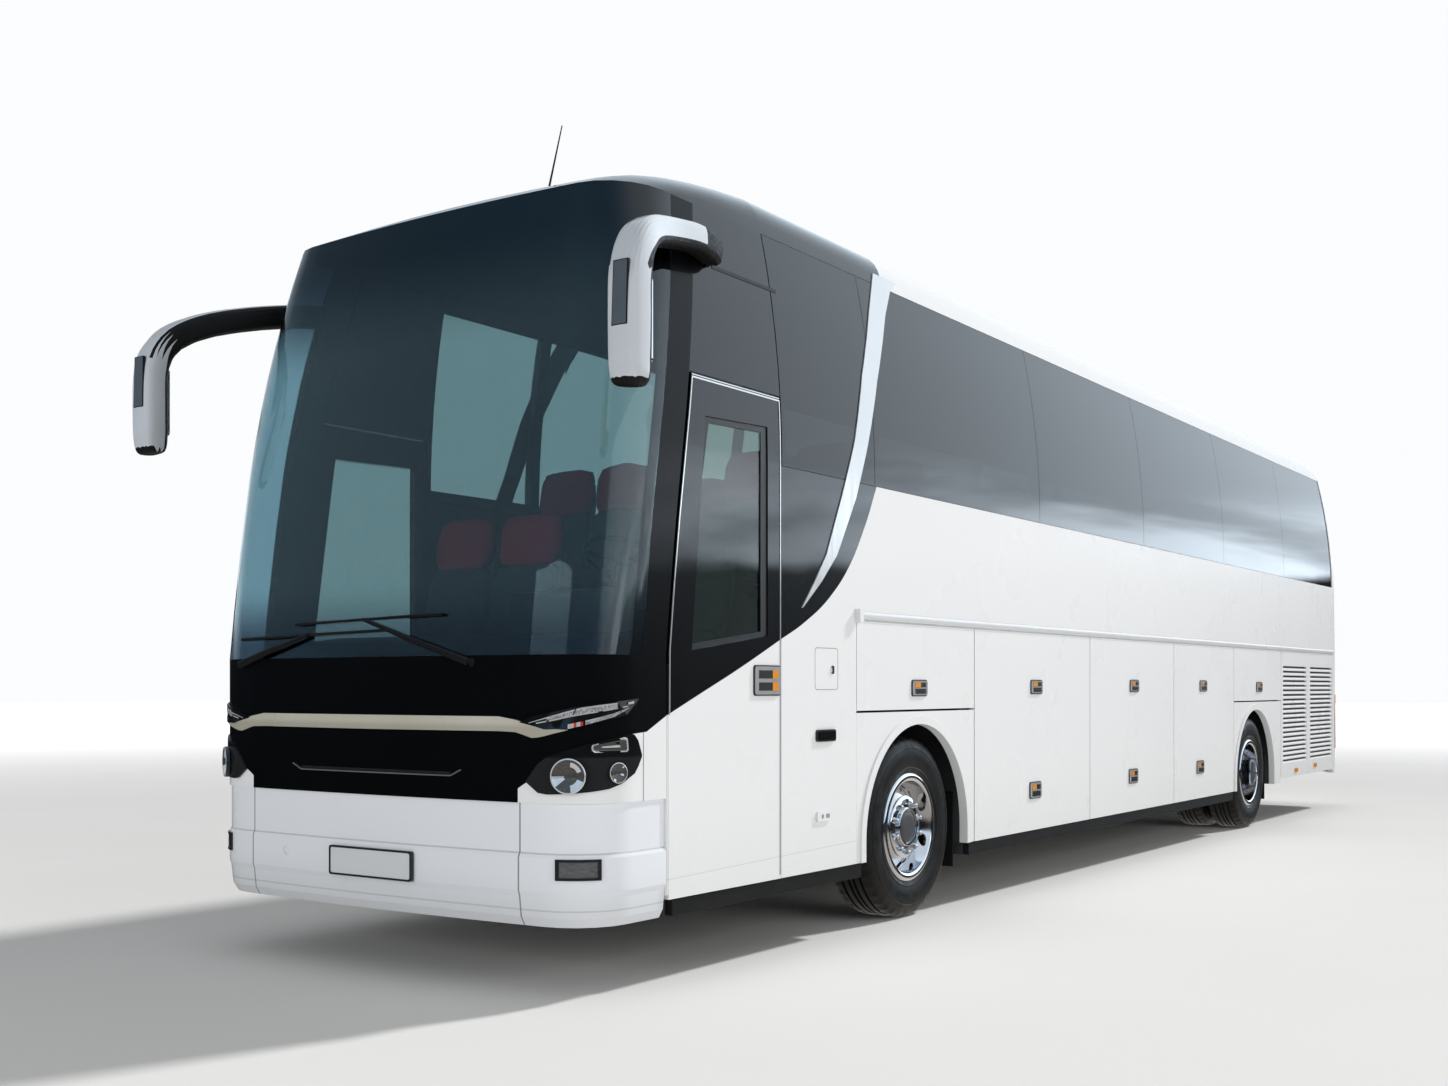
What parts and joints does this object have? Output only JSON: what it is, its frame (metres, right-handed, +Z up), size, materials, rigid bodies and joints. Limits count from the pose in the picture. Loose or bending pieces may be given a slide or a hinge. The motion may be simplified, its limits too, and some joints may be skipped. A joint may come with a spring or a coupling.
{
  "type": "coach bus",
  "caption": "High-floor touring coach with glazed saloon, black front mask, steered front wheels, twin rear wheels, driver's door and lift-up luggage lids.",
  "frame": {"origin": "on the road, under the middle of the outline", "axes": "+Z up, the front faces -Y, the driver's side is +X"},
  "size_m": [3.32, 13.49, 4.3015],
  "materials": {
    "frame_steel": "satin chassis paint",
    "floor_cover": "grey vinyl floor",
    "engine_iron": "painted casting",
    "white_paint": "gloss white paint",
    "black_gloss": "gloss black paint",
    "screen_glass": "blue-green tinted glass",
    "tinted_glass": "dark privacy glass",
    "gold_trim": "brushed champagne gold",
    "lamp_glass": "clear lamp lenses",
    "plate_white": "blank reflective plate",
    "black_plastic": "grained black plastic",
    "mirror_shell": "silver-white gloss shell",
    "rail_metal": "anodised rail",
    "rubber": "black rubber",
    "seat_fabric": "red seat cloth",
    "tyre": "road tyre rubber",
    "wheel_chrome": "polished chrome"
  },
  "bodies": {
    "root": {"underframe": "frame_steel", "wheel_housings": "frame_steel", "floor_deck": "floor_cover", "engine": "engine_iron", "front_axle": "frame_steel", "rear_axle": "frame_steel", "roof": "white_paint", "front_cap": "black_gloss", "rear_cap": "white_paint", "windscreen": "screen_glass", "front_corners": "black_gloss", "front_mask": "black_gloss", "gold_bar": "gold_trim", "lamps": "lamp_glass", "front_bumper": "white_paint", "number_plate": "plate_white", "wipers": "black_plastic", "mirrors": "mirror_shell", "aerial": "black_plastic", "waist_panels": "white_paint", "window_frames": "black_gloss", "window_glass": "tinted_glass", "arch_panels": "white_paint", "belt_rails": "rail_metal", "side_strips": "rail_metal", "roof_hatches": "white_paint", "rubber_skirts": "rubber", "plug_doors": "white_paint", "rear_wall": "white_paint", "seats": "seat_fabric", "dashboard": "black_plastic"},
    "knuckle_left": {"knuckle_left": "frame_steel"},
    "knuckle_right": {"knuckle_right": "frame_steel"},
    "front_wheel_left": {"tyre_front_left": "tyre", "wheel_front_left": "wheel_chrome"},
    "front_wheel_right": {"tyre_front_right": "tyre", "wheel_front_right": "wheel_chrome"},
    "rear_wheels_left": {"tyres_rear_left": "tyre", "wheel_rear_left": "wheel_chrome"},
    "rear_wheels_right": {"tyres_rear_right": "tyre", "wheel_rear_right": "wheel_chrome"},
    "steering_wheel": {"steering_wheel": "black_plastic"},
    "driver_door": {"driver_door": "white_paint", "driver_door_glass": "tinted_glass"},
    "luggage_door_left_1": {"luggage_door_left_1": "white_paint"},
    "luggage_door_left_2": {"luggage_door_left_2": "white_paint"},
    "luggage_door_left_3": {"luggage_door_left_3": "white_paint"},
    "luggage_door_right_1": {"luggage_door_right_1": "white_paint"},
    "luggage_door_right_2": {"luggage_door_right_2": "white_paint"},
    "flap_front_left": {"flap_front_left": "white_paint"},
    "flap_front_right": {"flap_front_right": "white_paint"},
    "flap_rear_left": {"flap_rear_left": "white_paint"},
    "flap_rear_right": {"flap_rear_right": "white_paint"},
    "side_lid_left": {"side_lid_left": "white_paint"},
    "side_lid_right": {"side_lid_right": "white_paint"},
    "engine_lid": {"engine_lid": "white_paint"}
  },
  "joints": [
    {"name": "steer_left", "type": "hinge", "parent": "root", "child": "knuckle_left", "pos_m": [1, -3.585, 0.5225], "axis": [0, 0, 1], "range_deg": [-45, 45]},
    {"name": "spin_front_left", "type": "hinge", "parent": "knuckle_left", "child": "front_wheel_left", "pos_m": [1.0825, -3.585, 0.5225], "axis": [1, 0, 0], "continuous": true},
    {"name": "spin_rear_left", "type": "hinge", "parent": "root", "child": "rear_wheels_left", "pos_m": [0.915, 3.325, 0.5225], "axis": [1, 0, 0], "continuous": true},
    {"name": "steer_right", "type": "hinge", "parent": "root", "child": "knuckle_right", "pos_m": [-1, -3.585, 0.5225], "axis": [0, 0, 1], "range_deg": [-45, 45]},
    {"name": "spin_front_right", "type": "hinge", "parent": "knuckle_right", "child": "front_wheel_right", "pos_m": [-1.0825, -3.585, 0.5225], "axis": [1, 0, 0], "continuous": true},
    {"name": "spin_rear_right", "type": "hinge", "parent": "root", "child": "rear_wheels_right", "pos_m": [-0.915, 3.325, 0.5225], "axis": [1, 0, 0], "continuous": true},
    {"name": "steering_turn", "type": "hinge", "parent": "root", "child": "steering_wheel", "pos_m": [0.62, -5.475, 1.96], "axis": [0, 0.5, 0.866], "range_deg": [-900, 900]},
    {"name": "driver_door_swing", "type": "hinge", "parent": "root", "child": "driver_door", "pos_m": [1.269, -6.009, 1], "axis": [0, 0, -1], "range_deg": [0, 75]},
    {"name": "luggage_door_left_1_lift", "type": "hinge", "parent": "root", "child": "luggage_door_left_1", "pos_m": [1.269, -1.8735, 1.69], "axis": [0, -1, 0], "range_deg": [0, 88]},
    {"name": "luggage_door_left_2_lift", "type": "hinge", "parent": "root", "child": "luggage_door_left_2", "pos_m": [1.269, 0.0205, 1.69], "axis": [0, -1, 0], "range_deg": [0, 88]},
    {"name": "luggage_door_left_3_lift", "type": "hinge", "parent": "root", "child": "luggage_door_left_3", "pos_m": [1.269, 1.7915, 1.69], "axis": [0, -1, 0], "range_deg": [0, 88]},
    {"name": "luggage_door_right_1_lift", "type": "hinge", "parent": "root", "child": "luggage_door_right_1", "pos_m": [-1.269, -1.8735, 1.69], "axis": [0, 1, 0], "range_deg": [0, 88]},
    {"name": "luggage_door_right_2_lift", "type": "hinge", "parent": "root", "child": "luggage_door_right_2", "pos_m": [-1.269, 0.0205, 1.69], "axis": [0, 1, 0], "range_deg": [0, 88]},
    {"name": "flap_front_left_lift", "type": "hinge", "parent": "root", "child": "flap_front_left", "pos_m": [1.269, -3.572, 1.69], "axis": [0, -1, 0], "range_deg": [0, 88]},
    {"name": "flap_front_right_lift", "type": "hinge", "parent": "root", "child": "flap_front_right", "pos_m": [-1.269, -3.572, 1.69], "axis": [0, 1, 0], "range_deg": [0, 88]},
    {"name": "flap_rear_left_lift", "type": "hinge", "parent": "root", "child": "flap_rear_left", "pos_m": [1.269, 3.4315, 1.69], "axis": [0, -1, 0], "range_deg": [0, 88]},
    {"name": "flap_rear_right_lift", "type": "hinge", "parent": "root", "child": "flap_rear_right", "pos_m": [-1.269, 3.4315, 1.69], "axis": [0, 1, 0], "range_deg": [0, 88]},
    {"name": "side_lid_left_lift", "type": "hinge", "parent": "root", "child": "side_lid_left", "pos_m": [1.269, 5.3115, 1.69], "axis": [0, -1, 0], "range_deg": [0, 88]},
    {"name": "side_lid_right_lift", "type": "hinge", "parent": "root", "child": "side_lid_right", "pos_m": [-1.269, 5.3115, 1.69], "axis": [0, 1, 0], "range_deg": [0, 88]},
    {"name": "engine_lid_lift", "type": "hinge", "parent": "root", "child": "engine_lid", "pos_m": [0, 6.739, 1.69], "axis": [1, 0, 0], "range_deg": [0, 80]}
  ],
  "couplings": [
    {"joint": "steer_right", "follows": "steer_left", "ratio": 1},
    {"joint": "steering_turn", "follows": "steer_left", "ratio": 20}
  ]
}
